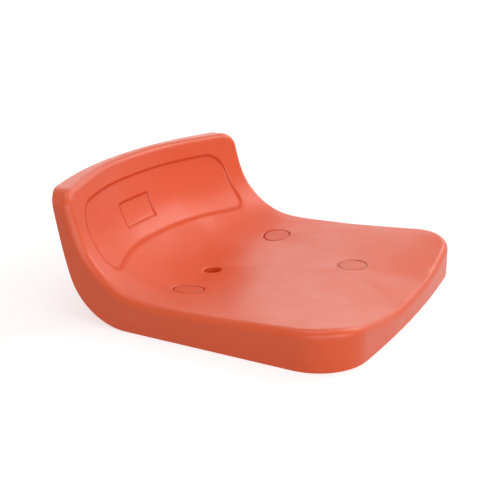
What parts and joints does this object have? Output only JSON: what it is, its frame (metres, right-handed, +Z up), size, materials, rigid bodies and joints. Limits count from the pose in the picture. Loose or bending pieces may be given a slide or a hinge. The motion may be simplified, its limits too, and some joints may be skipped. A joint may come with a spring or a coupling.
{
  "type": "stadium seat",
  "caption": "Low-back stadium seat shell, blow moulded with a double wall, with a dished pan, curved backrest, drain hole and round caps over its bolt wells.",
  "frame": {"origin": "on the ground under the middle of the seat's outline", "axes": "+Z up, the front edge faces -Y and the backrest stands at +Y, X runs along the width"},
  "size_m": [0.43, 0.4526, 0.17],
  "materials": {
    "shell_plastic": "satin orange-red moulded polyethylene",
    "cap_plastic": "satin orange-red moulded polyethylene"
  },
  "bodies": {
    "seat": {"seat_shell": "shell_plastic"},
    "front_cap": {"front_cap": "cap_plastic"},
    "rear_left_cap": {"rear_left_cap": "cap_plastic"},
    "rear_right_cap": {"rear_right_cap": "cap_plastic"}
  },
  "joints": [
    {"name": "front_cap_lift", "type": "slide", "parent": "seat", "child": "front_cap", "axis": [-0.0184, 0.0173, 0.9997], "range_m": [0, 0.03]},
    {"name": "rear_left_cap_lift", "type": "slide", "parent": "seat", "child": "rear_left_cap", "axis": [0.1394, 0.0225, 0.99], "range_m": [0, 0.03]},
    {"name": "rear_right_cap_lift", "type": "slide", "parent": "seat", "child": "rear_right_cap", "axis": [-0.1394, 0.0225, 0.99], "range_m": [0, 0.03]}
  ]
}
